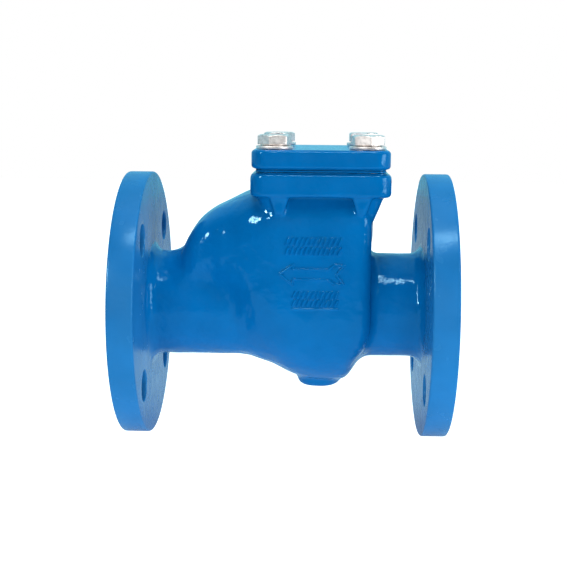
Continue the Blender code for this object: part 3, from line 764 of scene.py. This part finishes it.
def make_casting():
    """The casting with its flanges and all that is machined in it, in the paint and, on the
    flanges, a lighter copy of it that is painted reflection.
    """
    casting = finished("valve_casting", cast_mesh())
    land = stacked_mesh([land_ring(*level) for level in ((0, 80.0), (0, 85.1), (0.2, 85.3))])
    opening = stacked_mesh([oval_ring(78.0), oval_ring(88.0)])
    combined(casting, [flange_mesh(1), flange_mesh(-1), land], "UNION")
    combined(casting, [opening, machined_cuts()], "DIFFERENCE")
    resharpen(casting, 40)
    crisp_bore(casting.data)
    placed(casting, BODY, "blue_epoxy", "body")
    # the flanges get the lighter copy of the paint, which is painted reflection on the rims
    casting.data.materials.append(FINISHES["blue_epoxy_turned_with_painted_reflection"])
    for face in casting.data.polygons:
        if abs(face.center.x) > (FLANGE_BACK - 0.2) * MM:
            face.material_index = 1


def oval_ring(z, count=96):
    """The outline of the opening under the bonnet."""
    ring = []
    for i in range(count):
        angle = 2 * math.pi * i / count
        x, y = OPENING[0] * math.cos(angle), OPENING[1] * math.sin(angle)
        ring.append((BONNET_X + x, y, z))
    return ring


def placed(piece, body, finish, *nodes):
    """The piece rides on its body, has its finish and stands for those CAD nodes."""
    piece.data.materials.clear()
    piece.data.materials.append(FINISHES[finish])
    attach(piece, body)
    if nodes:
        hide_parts(*nodes)


# ---------------------------------------------------------------- bonnet and its bolts


def make_bonnet():
    """The cover, with its raised land below and rounded edges round its rim."""
    low, high = COVER_Z
    base = low - LAND_HEIGHT
    rings = [land_ring(0.2, base), land_ring(0.0, base + 0.2), land_ring(0.0, low)]
    quarter = [math.pi / 2 * t for t in (0.0, 0.25, 0.5, 0.75, 1.0)]
    for angle in quarter:
        inset, rise = 2.2 * (1 - math.sin(angle)), 2.0 * (1 - math.cos(angle))
        rings.append(slab_ring(COVER, CORNER, inset, low + rise))
    for angle in quarter:
        inset, drop = 2.4 * (1 - math.cos(angle)), 2.2 * (1 - math.sin(angle))
        rings.append(slab_ring(COVER, CORNER, inset, high - drop))
    bonnet = finished("bonnet_cover", stacked_mesh(rings))
    holes = [cylinder_mesh(BOLT_HOLE, 85, 100, place=(x, y, 0)) for x, y in bolt_places()]
    combined(bonnet, [joined(holes)], "DIFFERENCE")
    resharpen(bonnet, 40)
    placed(bonnet, BODY, "blue_epoxy", "bonnet")


def make_gasket():
    """The sheet between the lands, its rim painted over with the castings."""
    low, high = PAD_Z[1] + LAND_HEIGHT + 0.3, COVER_Z[0] - LAND_HEIGHT - 0.3
    levels = ((0.15, low), (0, low + 0.15), (0, high - 0.15), (0.15, high))
    gasket = finished("joint_sheet", stacked_mesh([land_ring(*level) for level in levels]))
    cuts = [stacked_mesh([oval_ring(80.0), oval_ring(90.0)])]
    for x, y in bolt_places():
        cuts.append(cylinder_mesh(BOLT_HOLE, 85, 90, place=(x, y, 0)))
    combined(gasket, [joined(cuts)], "DIFFERENCE")
    resharpen(gasket, 40)
    placed(gasket, BODY, "gasket_fibre", "bonnet_gasket")
    gasket.data.materials.append(FINISHES["blue_epoxy"])
    for face in gasket.data.polygons:
        x, y, z = face.center / MM
        out_x, out_y = abs(x - BONNET_X) - LAND[0], abs(y) - LAND[1]
        if abs(face.normal.z) < 0.8 and max(out_x, out_y) > -1.8:
            face.material_index = 1


def hexagon_ring(flats, limit, height, turn, drop=None, count=144):
    """Points round a hexagon with blunt corners, no further out than the limit.

    With drop, the ring lies on a cone that falls away beyond that radius."""
    ring = []
    for i in range(count):
        angle = 2 * math.pi * i / count
        sector = (angle + math.pi / 6) % (math.pi / 3) - math.pi / 6
        reach = flats / 2 / math.cos(sector)
        corner = flats / 2 / math.cos(math.pi / 6)
        reach = min(reach, corner * 0.985, limit)
        z = height
        if drop is not None:
            z -= max(reach - drop, 0) * math.tan(math.radians(27))
        ring.append((reach * math.cos(angle + turn), reach * math.sin(angle + turn), z))
    return ring


def bolt_mesh(flats, head, shank_radius, shank_end, turn):
    """A hexagon head bolt, head upward, from its shank's end to its dished top."""
    edge = flats / 2 * 0.94
    rings = [
        hexagon_ring(flats, shank_radius - 0.8, shank_end, turn),
        hexagon_ring(flats, shank_radius, shank_end + 0.8, turn),
        hexagon_ring(flats, shank_radius, 0, turn),
        hexagon_ring(flats, edge - 0.2, 0, turn),
        hexagon_ring(flats, edge, 0.15, turn),
        hexagon_ring(flats, edge, 0.45, turn),
        hexagon_ring(flats - 0.3, NO_LIMIT, 0.5, turn),
        hexagon_ring(flats, NO_LIMIT, 0.75, turn),
        hexagon_ring(flats, NO_LIMIT, head - 0.22, turn, drop=edge),
        hexagon_ring(flats - 0.3, NO_LIMIT, head, turn, drop=edge),
        hexagon_ring(flats, edge, head, turn),
        hexagon_ring(flats, edge - 1.0, head, turn),
        hexagon_ring(flats, edge - 1.8, head - 0.35, turn),
        hexagon_ring(flats, edge - 4.0, head - 0.45, turn),
    ]
    return stacked_mesh(rings)


def make_bonnet_bolts():
    (low, high), (inner, outer) = WASHER_Z, WASHER
    profile = [(inner, low, 0.3), (outer, low, 0.5), (outer, high, 0.5), (inner, high, 0.3)]
    seat = high + 0.3
    for number, (x, y) in enumerate(bolt_places(), 1):
        mesh = turned_mesh(profile, place=(x, y, 0), sides=96)
        washer = finished(f"washer_{number}", mesh)
        placed(washer, BODY, "zinc_steel", f"bonnet_washer_{number}")
        mesh = bolt_mesh(*BOLT, BOLT_END - seat, math.radians(BOLT_TURNS[number - 1]))
        mesh.transform(Matrix.Translation(Vector((x, y, seat)) * MM))
        bolt = finished(f"hexagon_bolt_{number}", mesh, angle=20)
        placed(bolt, BODY, "zinc_steel", f"bonnet_bolt_{number}")


# ---------------------------------------------------------------- seat, hinge and disc


def make_seat_ring():
    profile = [
        (25.5, 46.0, 0.4),
        (25.5, 38.9, 0.3),
        (26.4, SEAT, 0.3),
        (29.0, SEAT, 0.3),
        (30.0, SEAT + 1.2, 0.3),
        (30.0, 46.0, 0.4),
    ]
    ring = finished("seat_insert", turned_mesh(profile, X_AXIS, sides=144), angle=25)
    placed(ring, BODY, "bronze", "seat_ring")


def make_hinge_pin():
    profile = [(0, -29.0), (4.0, -29.0, 0.6), (4.0, 29.0, 0.6), (0, 29.0)]
    pin = turned_mesh(profile, Y_AXIS, (PIN[0], 0, PIN[1]), sides=64)
    placed(finished("fixed_pin", pin), BODY, "stainless", "hinge_pin")


def socket_screw_mesh(head_radius, head_height, shank_radius, shank_length, across):
    """A socket head screw, head upward from z = 0, with its hexagon socket cut."""
    profile = [
        (0, head_height),
        (head_radius, head_height, 0.5),
        (head_radius, 0, 0.2),
        (shank_radius, 0),
        (shank_radius, -shank_length, 0.4),
        (0, -shank_length),
    ]
    screw = finished("screw", turned_mesh(profile, sides=48))
    floor = head_height * 0.45
    socket = stacked_mesh(
        [
            hexagon_ring(across, NO_LIMIT, floor, 0.2, count=36),
            hexagon_ring(across, NO_LIMIT, head_height - 0.2, 0.2, count=36),
            hexagon_ring(across + 0.8, NO_LIMIT, head_height + 0.4, 0.2, count=36),
        ]
    )
    combined(screw, [socket], "DIFFERENCE")
    mesh = screw.data
    bpy.data.objects.remove(screw)
    return mesh


def make_keeper_screws():
    for number, (x, y) in enumerate(keeper_screw_places(), 1):
        mesh = socket_screw_mesh(*KEEPER_SCREW)
        turn = Matrix.Rotation(0.5 * number, 4, "Z")
        mesh.transform(Matrix.Translation(Vector((x, y, KEEPER_SCREW_Z)) * MM) @ turn)
        screw = finished(f"clamp_screw_{number}", mesh)
        placed(screw, BODY, "stainless", f"keeper_screw_{number}")


def make_bushes():
    profile = [
        (4.3, 1.5, 0.3),
        (6.0, 1.5, 0.2),
        (6.0, 14.0),
        (8.5, 14.0, 0.3),
        (8.5, 15.5, 0.4),
        (4.3, 15.5, 0.4),
    ]
    for name, side in (("left", -1), ("right", 1)):
        mesh = turned_mesh(profile, side * Y_AXIS, (PIN[0], 0, PIN[1]), sides=64)
        placed(finished(f"bush_{name}", mesh), ARM, "bronze", f"hinge_bush_{name}")


def arm_field(x, y, z):
    """The cast arm: a hub along Y, a web down to an eye round the disc's stud."""
    from_pin = np.hypot(x - PIN[0], z - PIN[1])
    hub = overlap(from_pin - HUB[0] + 0 * y, abs(y) - HUB[1] + 0 * (x + z), 1.0)
    slab = abs(x - ARM_MIDDLE) - ARM_HALF + 0 * (y + z)
    eye = overlap(np.hypot(y, z) - EYE_RADIUS + 0 * x, slab, 0.9)
    between = abs(z - 23.5) - 23.5
    width = 8.5 - 1.6 * np.clip(np.sin(np.clip(z / 40.0, 0, 1) * math.pi), 0, 1)
    web = np.maximum(overlap(abs(y) - width, slab, 1.2), between)
    rib = np.maximum(overlap(abs(y) - 2.2 + 0 * (x + z), slab, 0.8), between)
    return union(union(union(hub, web, 3.0), eye, 2.5), rib, 0.8)


def make_arm():
    arm = finished("cast_arm", surface_mesh(arm_field, ARM_BOX, 0.6))
    bore = cylinder_mesh(6.4, -16, 16, Y_AXIS, (PIN[0], 0, PIN[1]), 96)
    eye = cylinder_mesh(5.5, 18, 32, X_AXIS, sides=96)
    combined(arm, [joined([bore, eye])], "DIFFERENCE")
    resharpen(arm, 40)
    placed(arm, ARM, "stainless", "hinge_arm")


def retainer_screw_places():
    for number in range(1, 4):
        angle = 2 * math.pi * number / 3 + math.pi / 2
        yield RETAINER_CIRCLE * math.cos(angle), RETAINER_CIRCLE * math.sin(angle)


def make_disc():
    profile = [
        (0, 8.5),
        (5.0, 8.5, 0.7),
        (5.0, 28.9, 0.4),
        (13.0, 28.9, 0.6),
        (16.0, 31.5, 2.0),
        (31.0, 31.5, 0.8),
        (32.0, 32.5, 0.6),
        (32.0, 36.5, 0.4),
        (30.9, 36.5, 0.2),
        (30.9, 33.6),
        (0, 33.6),
    ]
    disc = finished("flap_plate", turned_mesh(profile, X_AXIS, sides=144))
    cuts = [cylinder_mesh(1.5, -9, 9, Y_AXIS, (SPLIT_PIN_X, 0, 0), 24)]
    for y, z in retainer_screw_places():
        cuts.append(cylinder_mesh(1.8, 30.6, 34.5, X_AXIS, (0, y, z), 24))
    combined(disc, [joined(cuts)], "DIFFERENCE")
    resharpen(disc, 35)
    placed(disc, DISC, "stainless", "disc")
    seal = [(22.3, 33.9, 0.4), (22.3, 37.7, 0.7), (30.6, 37.7, 0.7), (30.6, 33.9, 0.4)]
    seal = finished("face_seal", turned_mesh(seal, X_AXIS, sides=144))
    placed(seal, DISC, "rubber", "disc_seal")
    plate = [(0, 33.9), (22.0, 33.9, 0.3), (22.0, 37.3, 0.7), (0, 37.3)]
    plate = finished("retainer_plate", turned_mesh(plate, X_AXIS, sides=144))
    rooms = []
    for y, z in retainer_screw_places():
        room = [(0, 33.0), (1.8, 33.0), (1.8, 35.4), (3.9, 38.0), (0, 38.0)]
        rooms.append(turned_mesh(room, X_AXIS, (0, y, z), 48))
    combined(plate, [joined(rooms)], "DIFFERENCE")
    resharpen(plate, 35)
    placed(plate, DISC, "stainless", "seal_retainer")
    make_retainer_screws()


def make_retainer_screws():
    for number, (y, z) in enumerate(retainer_screw_places(), 1):
        profile = [(0, 30.9), (1.5, 30.9, 0.3), (1.5, 35.7), (3.0, 37.2, 0.2), (0, 37.2)]
        screw = finished(f"flat_screw_{number}", turned_mesh(profile, X_AXIS, (0, y, z), 48))
        socket = stacked_mesh(
            [
                hexagon_ring(2.0, NO_LIMIT, 36.0, 0.3 * number, count=36),
                hexagon_ring(2.0, NO_LIMIT, 38.0, 0.3 * number, count=36),
            ]
        )
        socket.transform(Matrix.Translation(Vector((0, y, z)) * MM) @ turn_to(X_AXIS))
        combined(screw, [socket], "DIFFERENCE")
        resharpen(screw, 35)
        placed(screw, DISC, "stainless", f"retainer_screw_{number}")


def make_disc_fastening():
    washer = [(5.3, 19.3, 0.2), (10.0, 19.3, 0.5), (10.0, 21.3, 0.5), (5.3, 21.3, 0.2)]
    washer = finished("stud_washer", turned_mesh(washer, X_AXIS, sides=96))
    placed(washer, DISC, "stainless", "disc_washer")
    flats, edge, low, high = 16.0, 7.7, 13.0, 19.0
    upper = hexagon_ring(flats - 0.3, NO_LIMIT, high, 0, drop=edge)
    rings = [
        hexagon_ring(flats, edge, low, 0),
        [(x, y, low + high - z) for x, y, z in upper],
        hexagon_ring(flats, NO_LIMIT, low + 0.9, 0),
        hexagon_ring(flats, NO_LIMIT, high - 0.9, 0),
        upper,
        hexagon_ring(flats, edge, high, 0),
    ]
    nut = finished("stud_nut", stacked_mesh(rings), angle=20)
    hole = [(0, 10), (7.2, 10), (5.3, 13.6), (5.3, 18.4), (7.0, 20.6), (0, 20.6)]
    combined(nut, [turned_mesh(hole, sides=64)], "DIFFERENCE")
    nut.data.transform(turn_to(X_AXIS))
    resharpen(nut, 20)
    placed(nut, DISC, "stainless", "disc_nut")


def make_split_pin():
    """A folded wire through the stud, with its eye on one side and its legs spread."""
    path = [
        (SPLIT_PIN_X, -7.6, 2.6),
        (SPLIT_PIN_X, -6.4, 0.9),
        (SPLIT_PIN_X, -4.8, 0.62),
        (SPLIT_PIN_X, 5.4, 0.62),
        (SPLIT_PIN_X, 6.6, 1.3),
        (SPLIT_PIN_X, 8.0, 1.3),
        (SPLIT_PIN_X, 8.7, 0.0),
        (SPLIT_PIN_X, 8.0, -1.3),
        (SPLIT_PIN_X, 6.6, -1.3),
        (SPLIT_PIN_X, 5.4, -0.62),
        (SPLIT_PIN_X, -4.8, -0.62),
        (SPLIT_PIN_X, -6.4, -0.9),
        (SPLIT_PIN_X, -7.6, -2.6),
    ]
    curve = bpy.data.curves.new("split_pin", "CURVE")
    curve.dimensions = "3D"
    curve.bevel_depth = 0.58 * MM
    curve.bevel_resolution = 4
    curve.use_fill_caps = True
    spline = curve.splines.new("NURBS")
    spline.points.add(len(path) - 1)
    for point, place in zip(spline.points, path):
        point.co = (*(Vector(place) * MM), 1)
    spline.order_u = 3
    spline.use_endpoint_u = True
    spline.resolution_u = 6
    placed(linked("cotter", curve), DISC, "stainless", "disc_split_pin")


# ---------------------------------------------------------------- finishes


class Finish:
    """A Principled material, with constants set on the shader's own sockets."""

    def __init__(self, name, roughness, metallic, **sockets):
        self.material = bpy.data.materials.new(name)
        self.material.use_nodes = True
        tree = self.material.node_tree
        self.nodes, self.links = tree.nodes, tree.links
        self.shader = self.nodes["Principled BSDF"]
        self.shader.inputs["Roughness"].default_value = roughness
        self.shader.inputs["Metallic"].default_value = metallic
        for socket, value in sockets.items():
            self.shader.inputs[socket.replace("_", " ")].default_value = value
        self.place = self.nodes.new("ShaderNodeTexCoord").outputs["Object"]

    def noise(self, scale, detail=3, stretch=None):
        """Noise with features of about 1 / scale metres."""
        texture = self.nodes.new("ShaderNodeTexNoise")
        texture.inputs["Scale"].default_value = scale
        texture.inputs["Detail"].default_value = detail
        place = self.place
        if stretch:
            mapping = self.nodes.new("ShaderNodeMapping")
            mapping.inputs["Scale"].default_value = stretch
            self.links.new(place, mapping.inputs["Vector"])
            place = mapping.outputs["Vector"]
        self.links.new(place, texture.inputs["Vector"])
        return texture.outputs["Fac"]

    def vary_colour(self, driver, low, high, window=(0.3, 0.7)):
        ramp = self.nodes.new("ShaderNodeValToRGB")
        for element, place, colour in zip(ramp.color_ramp.elements, window, (low, high)):
            element.position = place
            element.color = (*colour, 1)
        self.links.new(driver, ramp.inputs["Fac"])
        self.links.new(ramp.outputs["Color"], self.shader.inputs["Base Color"])

    def vary_roughness(self, driver, low, high):
        spread = self.nodes.new("ShaderNodeMapRange")
        limits = {"From Min": 0.3, "From Max": 0.7, "To Min": low, "To Max": high}
        for socket, value in limits.items():
            spread.inputs[socket].default_value = value
        self.links.new(driver, spread.inputs["Value"])
        self.links.new(spread.outputs["Result"], self.shader.inputs["Roughness"])

    def add_bumps(self, *layers):
        """Bumps stacked on each other: (height, depth in metres, strength)."""
        normal = None
        for height, depth, strength in layers:
            bump = self.nodes.new("ShaderNodeBump")
            bump.inputs["Strength"].default_value = strength
            bump.inputs["Distance"].default_value = depth
            self.links.new(height, bump.inputs["Height"])
            if normal:
                self.links.new(normal, bump.inputs["Normal"])
            normal = bump.outputs["Normal"]
        self.links.new(normal, self.shader.inputs["Normal"])


def blue_epoxy(name, shades, roughness, waviness, peel_depth):
    """Fusion bonded epoxy: glossy, with orange peel over the cast iron's waves."""
    finish = Finish(
        name, 0.14, 0.0, Specular_IOR_Level=0.34, Specular_Tint=(0.4, 0.85, 1.0, 1.0)
    )
    patches = finish.noise(38, 4)
    finish.vary_colour(patches, *shades)
    finish.vary_roughness(finish.noise(120, 2), *roughness)
    waves = finish.noise(95, 2)
    peel = finish.noise(520, 2)
    finish.add_bumps((waves, 0.0012, waviness), (peel, 0.00022, peel_depth))
    return finish.material


def zinc_steel():
    """Bright zinc plate, a little uneven and spotted."""
    finish = Finish("zinc_plate", 0.4, 0.75)
    spots = finish.noise(420, 5)
    finish.vary_colour(spots, (0.68, 0.6, 0.56), (0.9, 0.81, 0.76), (0.35, 0.58))
    finish.vary_roughness(finish.noise(260, 3), 0.3, 0.5)
    grain = finish.noise(1500, 2)
    finish.add_bumps((spots, 0.0001, 0.3), (grain, 0.00004, 0.4))
    return finish.material


def stainless():
    """Machined and cast stainless steel, with faint tool marks."""
    finish = Finish("stainless_steel", 0.3, 1.0)
    cloud = finish.noise(160, 4)
    finish.vary_colour(cloud, (0.42, 0.41, 0.39), (0.6, 0.59, 0.56))
    finish.vary_roughness(cloud, 0.24, 0.4)
    marks = finish.noise(900, 2, stretch=(4.0, 0.25, 0.25))
    grain = finish.noise(1800, 2)
    finish.add_bumps((marks, 0.00005, 0.4), (grain, 0.00003, 0.4))
    return finish.material


def bronze():
    """Turned bronze, dulled a little, with the tool's rings round the bore."""
    finish = Finish("bronze_metal", 0.32, 1.0)
    cloud = finish.noise(130, 4)
    finish.vary_colour(cloud, (0.46, 0.27, 0.1), (0.66, 0.43, 0.19))
    finish.vary_roughness(cloud, 0.24, 0.42)
    rings = finish.noise(700, 2, stretch=(5.0, 0.2, 0.2))
    finish.add_bumps((rings, 0.00006, 0.4))
    return finish.material


def rubber():
    """Moulded black rubber with a faint bloom."""
    finish = Finish("black_rubber", 0.6, 0.0, Sheen_Weight=0.15)
    cloud = finish.noise(90, 4)
    finish.vary_colour(cloud, (0.012, 0.012, 0.013), (0.035, 0.035, 0.036))
    finish.vary_roughness(cloud, 0.5, 0.72)
    grain = finish.noise(1400, 3)
    finish.add_bumps((grain, 0.00005, 0.5))
    return finish.material


def gasket_fibre():
    """Compressed fibre sheet, flecked and matt."""
    finish = Finish("fibre_sheet", 0.85, 0.0)
    flecks = finish.noise(1100, 5)
    finish.vary_colour(flecks, (0.015, 0.022, 0.03), (0.05, 0.065, 0.08), (0.4, 0.62))
    finish.vary_roughness(flecks, 0.75, 0.95)
    finish.add_bumps((flecks, 0.00012, 0.5))
    return finish.material


FINISHES = {
    "blue_epoxy": blue_epoxy("epoxy_paint", PAINT, (0.07, 0.13), 0.75, 0.7),
    # the lighter shades of the flanges' paint are painted reflection; its rougher, smoother-waved
    # finish is its own
    "blue_epoxy_turned_with_painted_reflection": blue_epoxy("epoxy_on_turned_iron_with_painted_reflection", TURNED_PAINT_WITH_PAINTED_REFLECTION, (0.2, 0.28), 0.2, 0.25),
    "zinc_steel": zinc_steel(),
    "stainless": stainless(),
    "bronze": bronze(),
    "rubber": rubber(),
    "gasket_fibre": gasket_fibre(),
}


def refinish_kept_nodes():
    """The CAD nodes that stay, with softened edges and their finish."""
    for name in KEPT:
        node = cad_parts[name]
        for place in node.material_slots:
            place.material = FINISHES["stainless"]
        soften = node.modifiers.new("edges", "BEVEL")
        soften.width = 0.25 * MM
        soften.segments = 2
        soften.angle_limit = math.radians(40)


# ---------------------------------------------------------------- room, lights and camera


def make_floor():
    """A pale floor on which the flanges' rims stand."""
    shape = bmesh.new()
    bmesh.ops.create_grid(shape, x_segments=24, y_segments=24, size=0.5)
    low, high = FLOOR
    for vert in shape.verts:
        x, y = vert.co.x + 0.5, vert.co.y + 0.5
        vert.co = (low[0] + x * (high[0] - low[0]), low[1] + y * (high[1] - low[1]), FLOOR_Z)
    mesh = mesh_from(shape)
    floor = linked("floor", mesh)
    glowing = {"Specular_IOR_Level": 0.1, "Emission_Color": (1, 1, 1, 1)}
    finish = Finish("white_table", 0.9, 0.0, **glowing)
    finish.vary_colour(finish.noise(6, 2), *FLOOR_SHADES)
    seen = finish.nodes.new("ShaderNodeLightPath").outputs["Is Glossy Ray"]
    glow = finish.nodes.new("ShaderNodeMapRange")
    glow.inputs["To Min"].default_value, glow.inputs["To Max"].default_value = FLOOR_GLOW
    finish.links.new(seen, glow.inputs["Value"])
    finish.links.new(glow.outputs["Result"], finish.shader.inputs["Emission Strength"])
    mesh.materials.append(finish.material)


def make_world():
    """White to the camera; for the paint to mirror, paler behind the valve than before it."""
    world = bpy.data.worlds.new("studio")
    world.use_nodes = True
    nodes, links = world.node_tree.nodes, world.node_tree.links
    background = nodes["Background"]
    direction = nodes.new("ShaderNodeTexCoord").outputs["Generated"]
    split = nodes.new("ShaderNodeSeparateXYZ")
    links.new(direction, split.inputs["Vector"])
    shift = nodes.new("ShaderNodeMapRange")
    shift.inputs["From Min"].default_value = -1
    links.new(split.outputs["Y"], shift.inputs["Value"])
    ramp = nodes.new("ShaderNodeValToRGB")
    for element, (position, grey) in zip(ramp.color_ramp.elements, ROOM):
        element.position = position
        element.color = (*(tint * grey for tint in ROOM_TINT), 1)
    links.new(shift.outputs["Result"], ramp.inputs["Fac"])
    seen = nodes.new("ShaderNodeLightPath").outputs["Is Camera Ray"]
    mix = nodes.new("ShaderNodeMix")
    mix.data_type = "RGBA"
    links.new(seen, mix.inputs["Factor"])
    links.new(ramp.outputs["Color"], mix.inputs[6])
    mix.inputs[7].default_value = (1, 1, 1, 1)
    links.new(mix.outputs[2], background.inputs["Color"])
    background.inputs["Strength"].default_value = 1.0
    bpy.context.scene.world = world


def make_light(name, place, aim, size, power, shows):
    """An area light, which may be left out of the reflections or of the soft light."""
    data = bpy.data.lights.new(name, "AREA")
    data.shape = "RECTANGLE"
    data.size, data.size_y = size
    data.energy = power
    light = linked(name, data)
    light.location = place
    light.rotation_euler = (Vector(place) - Vector(aim)).to_track_quat("Z", "Y").to_euler()
    light.visible_glossy = "glossy" in shows
    light.visible_diffuse = "diffuse" in shows


def make_camera():
    pitch, yaw, roll = CAMERA_TURN
    forward = Vector(
        (math.sin(yaw) * math.cos(pitch), math.cos(yaw) * math.cos(pitch), -math.sin(pitch))
    )
    flat_right = Vector((math.cos(yaw), -math.sin(yaw), 0))
    flat_up = flat_right.cross(forward)
    right = math.cos(roll) * flat_right + math.sin(roll) * flat_up
    up = -math.sin(roll) * flat_right + math.cos(roll) * flat_up
    data = bpy.data.cameras.new("camera")
    data.lens = CAMERA_LENS
    data.sensor_width = 36
    data.clip_start = 0.01
    camera = linked("camera", data)
    turn = Matrix((right, up, -forward)).transposed().to_4x4()
    camera.matrix_world = Matrix.Translation(CAMERA_AT) @ turn
    bpy.context.scene.camera = camera


make_casting()
make_bonnet()
make_gasket()
make_bonnet_bolts()
make_seat_ring()
make_hinge_pin()
make_keeper_screws()
make_bushes()
make_arm()
make_disc()
make_disc_fastening()
make_split_pin()
refinish_kept_nodes()

make_floor()
make_world()
for light in LIGHTS:
    make_light(*light)
make_camera()
bpy.context.scene.view_settings.view_transform = "Standard"
